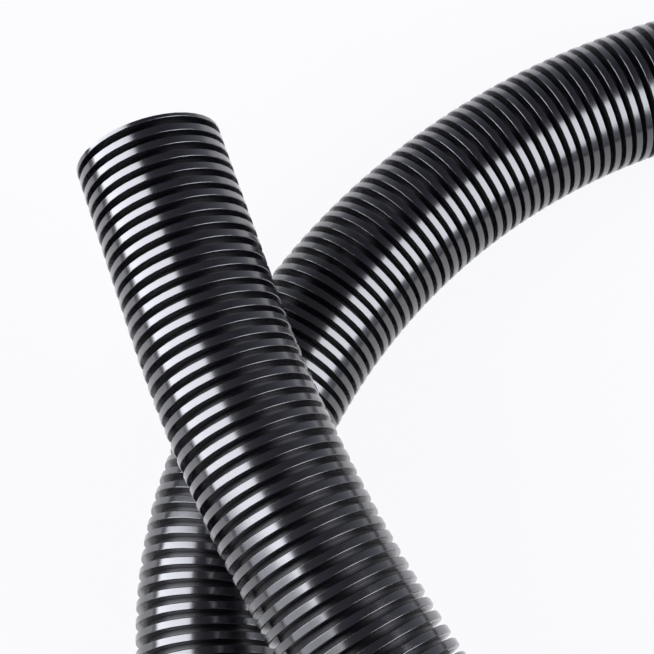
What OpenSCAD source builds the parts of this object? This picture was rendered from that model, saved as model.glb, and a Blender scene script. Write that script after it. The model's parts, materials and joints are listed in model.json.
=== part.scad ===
// Corrugated plastic conduit: one cut length of flexible black tube that lies
// in an open loop. One end trails straight on the floor and the other climbs
// over it to a raised free end. Millimetres, +Z up, floor at z = 0, the origin
// under the middle of the loop.

/* [Tube] */
// diameter over the crests
outer_d = 28.5; // [24:0.5:34]
// smallest diameter inside, under the valleys
bore_d = 23; // [18:0.5:23]
// wall thickness
wall = 0.5; // [0.3:0.05:0.5]
// distance from one crest to the next along the middle line
pitch = 2.85; // [2.8:0.05:3.1]
// outside width of one crest
crest_w = 1.6; // [1.4:0.1:1.7]

/* [Lie] */
// corrugations in the straight tail on the floor
tail_n = 31; // [10:1:60]
// corrugations in the bend after the tail
lead_n = 28; // [20:1:35]
// radius of the bend after the tail, at the middle line
lead_r = 89; // [86:1:120]
// corrugations in the wide bend
far_n = 92; // [84:1:100]
// radius of the wide bend
far_r = 148.5; // [135:0.5:160]
// corrugations in the bend down the far side
side_n = 40; // [30:1:48]
// radius of the bend down the far side
side_r = 111.5; // [95:0.5:125]
// tilt of the returning half of the loop, in degrees
rise_angle = 7.7; // [7:0.1:14]
// corrugations in the rising bend
near_n = 96; // [89:1:103]
// radius of the rising bend
near_r = 118; // [110:1:128]
// corrugations in the gentle bend under the free end
neck_n = 52; // [22:1:62]
// radius of the gentle bend
neck_r = 312; // [220:1:400]
// corrugations in the straight free end
end_n = 12; // [4:1:30]

/* [Hidden] */
$fn = 96;

crest_r = outer_d / 2;              // over the crests
valley_r = bore_d / 2 + wall;       // outside, in the valleys
bore_r = bore_d / 2;                // inside, under the valleys
groove_r = crest_r - wall;          // inside, under the crests
groove_w = crest_w - 2 * wall;      // inside width of one crest
valley_w = pitch - crest_w;         // outside width of one valley
rim = 0.15;                         // how far the side walls stand into the bore
leaf_n = 8;                         // corrugations joined at a time in a bend

// A place on the middle line: [position, direction, up]. Bends turn right.
function left(f) = cross(f[2], f[1]);
function run_on(f, s) = [f[0] + s * f[1], f[1], f[2]];
function bend_on(f, r, s) =
  let (a = s / r * 180 / PI, c = f[0] - r * left(f))
  [c + r * (left(f) * cos(a) + f[1] * sin(a)), f[1] * cos(a) - left(f) * sin(a), f[2]];
// tips the plane of the bend so that its inner side rises
function tip(f, a) = [f[0], f[1], f[2] * cos(a) + left(f) * sin(a)];

// where each stretch starts, from the cut end of the tail
at_tail = [[0, 0, 0], [0, 1, 0], [0, 0, 1]];
at_lead = run_on(at_tail, tail_n * pitch);
at_far = bend_on(at_lead, lead_r, lead_n * pitch);
at_side = bend_on(at_far, far_r, far_n * pitch);
at_near = tip(bend_on(at_side, side_r, side_n * pitch), rise_angle);
at_neck = bend_on(at_near, near_r, near_n * pitch);
at_end = bend_on(at_neck, neck_r, neck_n * pitch);
at_cut = run_on(at_end, end_n * pitch);

// every crest, used only for the outline of the whole part
crests = concat([at_tail, at_cut],
                [for (k = [0:lead_n]) bend_on(at_lead, lead_r, k * pitch)],
                [for (k = [0:far_n]) bend_on(at_far, far_r, k * pitch)],
                [for (k = [0:side_n]) bend_on(at_side, side_r, k * pitch)],
                [for (k = [0:near_n]) bend_on(at_near, near_r, k * pitch)],
                [for (k = [0:neck_n]) bend_on(at_neck, neck_r, k * pitch)]);
function reach(f, i) = crest_r * sqrt(1 - f[1][i] * f[1][i]);
function low(i) = min([for (f = crests) f[0][i] - reach(f, i)]);
function high(i) = max([for (f = crests) f[0][i] + reach(f, i)]);
origin = [(low(0) + high(0)) / 2, (low(1) + high(1)) / 2, low(2)];

module place(f) {
  x = f[1];
  y = left(f);
  z = f[2];
  p = f[0] - origin;
  multmatrix([[x[0], y[0], z[0], p[0]],
              [x[1], y[1], z[1], p[1]],
              [x[2], y[2], z[2], p[2]],
              [0, 0, 0, 1]]) children();
}

// one crest: two side walls and the top, turned about X
module crest_ring() {
  rotate([0, 90, 0]) rotate_extrude() polygon([
    [bore_r, -crest_w / 2], [crest_r, -crest_w / 2], [crest_r, crest_w / 2], [bore_r, crest_w / 2],
    [bore_r, groove_w / 2], [groove_r, groove_w / 2], [groove_r, -groove_w / 2],
    [bore_r, -groove_w / 2]]);
}

// one valley: it ends halfway through the side wall on each side of it
module valley_ring() {
  rotate([0, 90, 0]) rotate_extrude()
    translate([bore_r + rim, -(valley_w + wall) / 2])
      square([valley_r - bore_r - rim, valley_w + wall]);
}

// n whole corrugations in a straight run along +X, from a crest cut through
// its middle at x = 0 to the far side of the last crest
module straight_run(n) {
  outside = [for (k = [0:n - 1], m = [0:3])
    [m == 0 || m == 3 ? crest_r : valley_r,
     m < 2 ? k * pitch + crest_w / 2 : (k + 1) * pitch - crest_w / 2]];
  inside = [for (k = [n - 1:-1:0], m = [0:7])
    [m == 0 || m == 7 ? groove_r : m == 3 || m == 4 ? bore_r + rim : bore_r,
     m < 4 ? (k + 1) * pitch - (m < 2 ? groove_w : crest_w) / 2
           : k * pitch + (m < 6 ? crest_w : groove_w) / 2]];
  rotate([0, 90, 0]) rotate_extrude() polygon(concat(
    [[groove_r, 0], [crest_r, 0]], outside,
    [[crest_r, n * pitch + crest_w / 2], [bore_r, n * pitch + crest_w / 2],
     [bore_r, n * pitch + groove_w / 2], [groove_r, n * pitch + groove_w / 2]],
    inside));
}

// n valleys and crests by turns along a bend, the middle one at the origin
module bend_leaf(r, n) {
  for (k = [1:2 * n]) {
    turn = (k / 2 - (n + 1) / 2) * pitch / r * 180 / PI;
    translate([0, -r, 0]) rotate([0, 0, -turn]) translate([0, r, 0])
      if (k % 2 == 0) crest_ring(); else valley_ring();
  }
}

// the corrugations 1 to n after the place f, around a bend of radius r
module bend(f, r, n) {
  for (k = [0:leaf_n:n - 1]) {
    m = min(leaf_n, n - k);
    place(bend_on(f, r, (k + (m + 1) / 2) * pitch)) bend_leaf(r, m);
  }
}

module conduit() {
  color([0.05, 0.05, 0.06]) union() {
    place(at_tail) straight_run(tail_n);
    bend(at_lead, lead_r, lead_n);
    bend(at_far, far_r, far_n);
    bend(at_side, side_r, side_n);
    bend(at_near, near_r, near_n);
    bend(at_neck, neck_r, neck_n - 1);
    place(bend_on(at_neck, neck_r, (neck_n - 0.5) * pitch)) valley_ring();
    place(at_cut) rotate([0, 0, 180]) straight_run(end_n);
  }
}

conduit();
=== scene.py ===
"""Corrugated plastic conduit: one cut length of glossy black tube lying in an open loop."""
import json
import math
import random

import bpy
from mathutils import Matrix, Vector


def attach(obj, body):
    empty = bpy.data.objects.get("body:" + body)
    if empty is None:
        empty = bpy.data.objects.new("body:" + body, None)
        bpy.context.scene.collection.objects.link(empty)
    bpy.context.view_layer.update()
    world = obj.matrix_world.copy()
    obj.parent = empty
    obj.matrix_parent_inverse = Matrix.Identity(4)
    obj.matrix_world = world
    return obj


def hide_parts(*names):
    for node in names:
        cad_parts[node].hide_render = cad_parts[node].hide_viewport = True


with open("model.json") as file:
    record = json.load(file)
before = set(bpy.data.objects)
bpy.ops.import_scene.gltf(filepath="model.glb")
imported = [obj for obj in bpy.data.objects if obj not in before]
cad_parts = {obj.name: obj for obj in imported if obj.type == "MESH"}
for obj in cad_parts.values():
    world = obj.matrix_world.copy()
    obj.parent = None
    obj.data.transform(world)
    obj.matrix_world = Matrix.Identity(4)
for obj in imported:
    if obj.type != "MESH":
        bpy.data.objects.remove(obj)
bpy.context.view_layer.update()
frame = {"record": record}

MM = 0.001

# ---------------------------------------------------------------- the tube
CREST_R = 14.25 * MM        # outside, over the crests
VALLEY_R = 12.0 * MM        # outside, in the valleys
BORE_R = 11.5 * MM          # inside, under the valleys
GROOVE_R = 13.75 * MM       # inside, under the crests
CREST_W = 1.6 * MM          # outside width of one crest
GROOVE_W = 0.6 * MM         # inside width of one crest
PITCH = 2.85 * MM           # from one crest to the next
SHOULDER = 0.2 * MM         # rounding at both edges of a crest
SIDES = 40                  # flats round the tube
SEEN_INSIDE = 16            # corrugations that show when looking into an end
WANDER = math.radians(0.35)  # how far a crest leans off square, at most

# ---------------------------------------------------------------- its lie
TAIL = 31                   # corrugations in the straight tail
LEAD = (28, 89 * MM)        # corrugations in each bend, and its radius
FAR = (92, 148.5 * MM)
SIDE = (40, 111.5 * MM)
NEAR = (96, 118 * MM)
NECK = (52, 312 * MM)
END = 12                    # corrugations in the straight free end
RISE = math.radians(7.7)    # tilt of the returning half of the loop


class Place:
    """A point on the middle line, with the tube's direction and its upper side there."""

    def __init__(self, point, ahead, up):
        self.point = point
        self.ahead = ahead
        self.up = up

    def left(self):
        return self.up.cross(self.ahead)

    def straight(self, run):
        return Place(self.point + run * self.ahead, self.ahead, self.up)

    def bent(self, radius, run):
        turn = Matrix.Rotation(-run / radius, 3, self.up)
        centre = self.point - radius * self.left()
        return Place(centre + turn @ (self.point - centre), turn @ self.ahead, self.up)

    def tipped(self, angle):
        return Place(self.point, self.ahead,
                     self.up * math.cos(angle) + self.left() * math.sin(angle))


def route():
    """Every crest's place, from the cut end of the tail to the free end."""
    tail = next(m for m in frame["record"]["mounts"] if m["name"] == "tail_outside")
    cut = Vector(tail["pos_m"]) + tail["dims"]["length_mm"] / 2 * MM * Vector(tail["axis"])
    crests = [Place(cut, Vector((0, 1, 0)), Vector((0, 0, 1)))]
    for k in range(TAIL):
        crests.append(crests[-1].straight(PITCH))
    for count, radius in (LEAD, FAR, SIDE, NEAR, NECK):
        start = crests[-1]
        if (count, radius) == NEAR:
            start = start.tipped(RISE)
        crests.extend(start.bent(radius, (k + 1) * PITCH) for k in range(count))
    for k in range(END):
        crests.append(crests[-1].straight(PITCH))
    return crests


class Ring:
    """One ring of points round the tube, square to it."""

    def __init__(self, place, shift, radius, run):
        self.radius = radius
        self.run = run
        self.ahead = place.ahead
        turns = [2 * math.pi * k / SIDES for k in range(SIDES)]
        self.outwards = [math.cos(a) * place.left() + math.sin(a) * place.up for a in turns]
        centre = place.point + shift * place.ahead
        self.points = [centre + radius * out for out in self.outwards]


def wall_rings(crests):
    """The rings of the whole wall: along the outside, then back along the inside."""
    last = len(crests) - 1
    half = CREST_W / 2
    groove = GROOVE_W / 2
    outside = [(-half, VALLEY_R), (-half, CREST_R - SHOULDER), (SHOULDER - half, CREST_R),
               (half - SHOULDER, CREST_R), (half, CREST_R - SHOULDER), (half, VALLEY_R)]
    inside = [(groove, BORE_R), (groove, GROOVE_R), (-groove, GROOVE_R), (-groove, BORE_R)]
    rings = []

    def add(k, shift, radius):
        if (k > 0 or shift >= 0) and (k < last or shift <= 0):
            rings.append(Ring(crests[k], shift, radius, k * PITCH + shift))

    add(0, 0, CREST_R)
    for k in range(last + 1):
        for shift, radius in outside:
            add(k, shift, radius)
    add(last, 0, CREST_R)
    add(last, 0, GROOVE_R)
    for k in range(last, -1, -1):
        if k <= SEEN_INSIDE or k >= last - SEEN_INSIDE:
            for shift, radius in inside:
                add(k, shift, radius)
        elif k % 2 == 0:
            add(k, 0, BORE_R)
    add(0, 0, GROOVE_R)
    return rings


def lean(crests):
    """A little unevenness from one crest to the next, as a moulded tube has."""
    chance = random.Random(7)
    uneven = [crests[0]]
    for place in crests[1:-1]:
        tip = Matrix.Rotation(chance.uniform(-WANDER, WANDER), 3, place.up)
        nod = Matrix.Rotation(chance.uniform(-WANDER, WANDER), 3, place.left())
        uneven.append(Place(place.point, tip @ nod @ place.ahead, nod @ place.up))
    return uneven + [crests[-1]]


def along_and_round(mesh, rings):
    """UVs in metres: along the tube and round it."""
    layer = mesh.uv_layers.new(name="along_and_round")
    girth = 2 * math.pi * CREST_R
    for face in mesh.polygons:
        columns = [mesh.loops[i].vertex_index % SIDES for i in face.loop_indices]
        for i, column in zip(face.loop_indices, columns):
            turn = SIDES if column == 0 and max(columns) == SIDES - 1 else column
            run = rings[mesh.loops[i].vertex_index // SIDES].run
            layer.data[i].uv = (run, turn / SIDES * girth)


def round_shoulders(mesh, rings):
    """Shades the crest tops flat, the walls flat and the shoulders as a round edge between."""
    normals = [None] * len(mesh.loops)
    for face in mesh.polygons:
        corners = [divmod(mesh.loops[i].vertex_index, SIDES) for i in face.loop_indices]
        radii = {rings[row].radius for row, _ in corners}
        level = len(radii) == 1
        shoulder = radii == {CREST_R, CREST_R - SHOULDER}
        for i, (row, column) in zip(face.loop_indices, corners):
            ring = rings[row]
            flat = level or (shoulder and ring.radius == CREST_R)
            normal = ring.outwards[column] if flat else ring.ahead
            normals[i] = normal if normal.dot(face.normal) > 0 else -normal
    mesh.normals_split_custom_set(normals)


def make_conduit(crests):
    rings = wall_rings(lean(crests))
    points = [p for ring in rings for p in ring.points]
    faces = []
    for r in range(len(rings)):
        after = (r + 1) % len(rings)
        for k in range(SIDES):
            n = (k + 1) % SIDES
            faces.append((r * SIDES + k, r * SIDES + n, after * SIDES + n, after * SIDES + k))
    mesh = bpy.data.meshes.new("conduit_tube")
    mesh.from_pydata(points, [], faces)
    crest = mesh.attributes.new("crest", "FLOAT", "POINT")
    high = [0 if ring.radius in (VALLEY_R, BORE_R) else 1 for ring in rings]
    crest.data.foreach_set("value", [value for value in high for k in range(SIDES)])
    tube = bpy.data.objects.new("conduit_tube", mesh)
    bpy.context.scene.collection.objects.link(tube)
    bpy.ops.object.select_all(action="DESELECT")
    tube.select_set(True)
    bpy.context.view_layer.objects.active = tube
    bpy.ops.object.mode_set(mode="EDIT")
    bpy.ops.mesh.select_all(action="SELECT")
    bpy.ops.mesh.normals_make_consistent(inside=False)
    bpy.ops.object.mode_set(mode="OBJECT")
    bpy.ops.object.shade_smooth()
    along_and_round(mesh, rings)
    round_shoulders(mesh, rings)
    return tube


# ---------------------------------------------------------------- materials
CREST_BLACK = (0.009, 0.009, 0.012, 1)
# painted shade: the valley colour is darker than the crest colour, standing for the shade in the
# recesses between crests
VALLEY_PAINTED_SHADE = (0.001, 0.001, 0.003, 1)
CREST_ROUGHNESS = 0.19
VALLEY_ROUGHNESS = 0.35
COAT_ROUGHNESS = 0.17
FLOW_SCALE = (350, 60, 1)   # noise cells a metre, along the tube and round it
FLOW_DEPTH = 0.05 * MM
GRAIN_SCALE = 2500          # noise cells a metre
GRAIN_DEPTH = 0.01 * MM
PAPER_GLOW = 0.93           # how much of the sweep's whiteness doesn't depend on the lamps
MIRRORED_GLOW = 0.55        # the same, where the tube mirrors it


def black_plastic():
    """Glossy black: fine moulded grain, faint flow marks round the tube, duller valleys, and
    painted shade that makes the valleys darker.
    """
    material = bpy.data.materials.new("black_plastic")
    material.use_nodes = True
    nodes = material.node_tree.nodes
    links = material.node_tree.links
    shader = nodes["Principled BSDF"]
    shader.inputs["IOR"].default_value = 1.5
    shader.inputs["Coat IOR"].default_value = 1.7
    shader.inputs["Coat Roughness"].default_value = COAT_ROUGHNESS

    crest = nodes.new("ShaderNodeAttribute")
    crest.attribute_name = "crest"
    along = nodes.new("ShaderNodeUVMap")
    along.uv_map = "along_and_round"
    stretch = nodes.new("ShaderNodeMapping")
    stretch.inputs["Scale"].default_value = FLOW_SCALE
    links.new(along.outputs["UV"], stretch.inputs["Vector"])
    flow = nodes.new("ShaderNodeTexNoise")
    flow.inputs["Scale"].default_value = 1
    flow.inputs["Detail"].default_value = 3
    links.new(stretch.outputs["Vector"], flow.inputs["Vector"])
    place = nodes.new("ShaderNodeTexCoord")
    grain = nodes.new("ShaderNodeTexNoise")
    grain.inputs["Scale"].default_value = GRAIN_SCALE
    grain.inputs["Detail"].default_value = 4
    links.new(place.outputs["Object"], grain.inputs["Vector"])

    # painted shade: the crest mask darkens the base colour in the valleys
    shade = nodes.new("ShaderNodeMix")
    shade.data_type = "RGBA"
    shade.inputs["A"].default_value = VALLEY_PAINTED_SHADE
    shade.inputs["B"].default_value = CREST_BLACK
    links.new(crest.outputs["Fac"], shade.inputs["Factor"])
    links.new(crest.outputs["Fac"], shader.inputs["Coat Weight"])
    mottle = nodes.new("ShaderNodeMix")
    mottle.data_type = "RGBA"
    mottle.blend_type = "MULTIPLY"
    mottle.inputs["Factor"].default_value = 0.35
    links.new(shade.outputs["Result"], mottle.inputs["A"])
    links.new(grain.outputs["Color"], mottle.inputs["B"])
    links.new(mottle.outputs["Result"], shader.inputs["Base Color"])

    gloss = nodes.new("ShaderNodeMapRange")
    gloss.inputs["From Min"].default_value = 0.3
    gloss.inputs["From Max"].default_value = 0.7
    gloss.inputs["To Min"].default_value = CREST_ROUGHNESS - 0.03
    gloss.inputs["To Max"].default_value = CREST_ROUGHNESS + 0.04
    links.new(flow.outputs["Fac"], gloss.inputs["Value"])
    rough = nodes.new("ShaderNodeMix")
    rough.inputs["A"].default_value = VALLEY_ROUGHNESS
    links.new(crest.outputs["Fac"], rough.inputs["Factor"])
    links.new(gloss.outputs["Result"], rough.inputs["B"])
    links.new(rough.outputs["Result"], shader.inputs["Roughness"])

    waves = nodes.new("ShaderNodeBump")
    waves.inputs["Strength"].default_value = 0.25
    waves.inputs["Distance"].default_value = FLOW_DEPTH
    links.new(flow.outputs["Fac"], waves.inputs["Height"])
    pores = nodes.new("ShaderNodeBump")
    pores.inputs["Strength"].default_value = 0.12
    pores.inputs["Distance"].default_value = GRAIN_DEPTH
    links.new(grain.outputs["Fac"], pores.inputs["Height"])
    links.new(waves.outputs["Normal"], pores.inputs["Normal"])
    links.new(pores.outputs["Normal"], shader.inputs["Normal"])
    return material


def white_paper():
    """A seamless white sweep: it takes the shadow softly and looks white to the camera."""
    material = bpy.data.materials.new("white_paper")
    material.use_nodes = True
    nodes = material.node_tree.nodes
    links = material.node_tree.links
    paper = nodes["Principled BSDF"]
    paper.inputs["Base Color"].default_value = (0.6, 0.6, 0.62, 1)
    paper.inputs["Roughness"].default_value = 0.9
    glow = nodes.new("ShaderNodeEmission")
    glow.inputs["Color"].default_value = (0.98, 0.98, 1.0, 1)
    rays = nodes.new("ShaderNodeLightPath")
    mix = nodes.new("ShaderNodeMixShader")
    straight = nodes.new("ShaderNodeMath")
    straight.operation = "MAXIMUM"
    links.new(rays.outputs["Is Camera Ray"], straight.inputs[0])
    links.new(rays.outputs["Is Transmission Ray"], straight.inputs[1])
    seen = nodes.new("ShaderNodeMath")
    seen.operation = "MULTIPLY"
    seen.inputs[1].default_value = PAPER_GLOW
    links.new(straight.outputs[0], seen.inputs[0])
    share = nodes.new("ShaderNodeMath")
    share.operation = "MULTIPLY_ADD"
    share.inputs[1].default_value = MIRRORED_GLOW
    links.new(rays.outputs["Is Glossy Ray"], share.inputs[0])
    links.new(seen.outputs[0], share.inputs[2])
    links.new(share.outputs[0], mix.inputs[0])
    links.new(paper.outputs[0], mix.inputs[1])
    links.new(glow.outputs[0], mix.inputs[2])
    links.new(mix.outputs[0], nodes["Material Output"].inputs["Surface"])
    return material


# ---------------------------------------------------------------- the scene
LENS = 98.81                # millimetres
EYE = (-0.15043, -0.02207, 0.35541)
EYE_AHEAD = (0.20938, 0.3387, -0.9173)
EYE_RIGHT = (0.86236, -0.50619, 0.00993)

FLOOR_SIZE = 20
CARD_AT = (-0.42, 0.175, 0.02)
CARD_SIZE = (0.6, 0.04)
CARD_TURN = math.radians(30)
SKY_LOW = (0.45, 0.48, 0.56, 1)
SKY_HIGH = (0.06, 0.06, 0.07, 1)

COOL = (0.91, 0.92, 1.0)    # the lamps' colour
LAMP_DISTANCE = 0.8
# name, what it faces, azimuth and elevation in degrees, width and height, radiance
LAMPS = [
    ("left_soft_box", (-0.1, 0.06, 0.04), -54, 26, (0.56, 1.1), 7.4),
    ("left_side_fill", (-0.1, 0.06, 0.04), -83, 26, (0.22, 1.1), 1.8),
    ("right_soft_box", (0.0, 0.08, 0.02), 134, 38, (0.72, 0.72), 6.2),
]


def make_camera():
    camera = bpy.data.cameras.new("camera")
    camera.lens = LENS
    camera.sensor_width = 36
    camera.clip_start = 0.01
    eye = bpy.data.objects.new("camera", camera)
    bpy.context.scene.collection.objects.link(eye)
    ahead = Vector(EYE_AHEAD)
    right = Vector(EYE_RIGHT)
    up = right.cross(ahead)
    turn = Matrix((right, up, -ahead)).transposed().to_4x4()
    eye.matrix_world = Matrix.Translation(EYE) @ turn
    bpy.context.scene.camera = eye


def soft_box(name, aim, azimuth, elevation, size, radiance):
    """A rectangular lamp facing aim. Azimuth 0 is along +Y and 90 along +X."""
    a = math.radians(azimuth)
    e = math.radians(elevation)
    away = Vector((math.sin(a) * math.cos(e), math.cos(a) * math.cos(e), math.sin(e)))
    lamp = bpy.data.lights.new(name, "AREA")
    lamp.shape = "RECTANGLE"
    lamp.size, lamp.size_y = size
    lamp.energy = radiance * math.pi * size[0] * size[1]
    lamp.color = COOL
    light = bpy.data.objects.new(name, lamp)
    bpy.context.scene.collection.objects.link(light)
    light.location = Vector(aim) + LAMP_DISTANCE * away
    light.rotation_mode = "QUATERNION"
    light.rotation_quaternion = (-away).to_track_quat("-Z", "Y")
    light.visible_camera = False


def black_card():
    """A low matt card on the sweep, seen only where the tube mirrors it, as a thin dark line."""
    bpy.ops.object.select_all(action="DESELECT")
    bpy.ops.mesh.primitive_plane_add(size=1, location=CARD_AT,
                                     rotation=(math.pi / 2, 0, CARD_TURN))
    card = bpy.context.object
    card.name = "black_card"
    card.scale = (*CARD_SIZE, 1)
    card.visible_camera = False
    card.visible_shadow = False
    card.visible_diffuse = False
    matt = bpy.data.materials.new("matt_black")
    matt.use_nodes = True
    shader = matt.node_tree.nodes["Principled BSDF"]
    shader.inputs["Base Color"].default_value = (0.02, 0.02, 0.02, 1)
    shader.inputs["Roughness"].default_value = 1
    card.data.materials.append(matt)


def white_floor():
    bpy.ops.object.select_all(action="DESELECT")
    bpy.ops.mesh.primitive_plane_add(size=FLOOR_SIZE, location=(0, 0, 0))
    floor = bpy.context.object
    floor.name = "floor"
    floor.data.materials.append(white_paper())


def soft_sky():
    """Paler at the horizon than overhead, and white where the camera sees it past the sweep."""
    world = bpy.data.worlds.new("studio")
    world.use_nodes = True
    nodes = world.node_tree.nodes
    links = world.node_tree.links
    place = nodes.new("ShaderNodeTexCoord")
    split = nodes.new("ShaderNodeSeparateXYZ")
    ramp = nodes.new("ShaderNodeValToRGB")
    ramp.color_ramp.elements[0].position = 0.0
    ramp.color_ramp.elements[0].color = SKY_LOW
    ramp.color_ramp.elements[1].position = 0.75
    ramp.color_ramp.elements[1].color = SKY_HIGH
    links.new(place.outputs["Generated"], split.inputs[0])
    links.new(split.outputs["Z"], ramp.inputs["Fac"])
    rays = nodes.new("ShaderNodeLightPath")
    mix = nodes.new("ShaderNodeMix")
    mix.data_type = "RGBA"
    mix.inputs["B"].default_value = (1, 1, 1, 1)
    links.new(rays.outputs["Is Camera Ray"], mix.inputs["Factor"])
    links.new(ramp.outputs["Color"], mix.inputs["A"])
    links.new(mix.outputs["Result"], nodes["Background"].inputs["Color"])
    bpy.context.scene.world = world


def make_studio():
    white_floor()
    black_card()
    soft_sky()
    for lamp in LAMPS:
        soft_box(*lamp)
    bpy.context.scene.view_settings.view_transform = "Standard"


make_camera()
crests = route()
tube = make_conduit(crests)
tube.data.materials.append(black_plastic())
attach(tube, "root")
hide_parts("conduit")
make_studio()
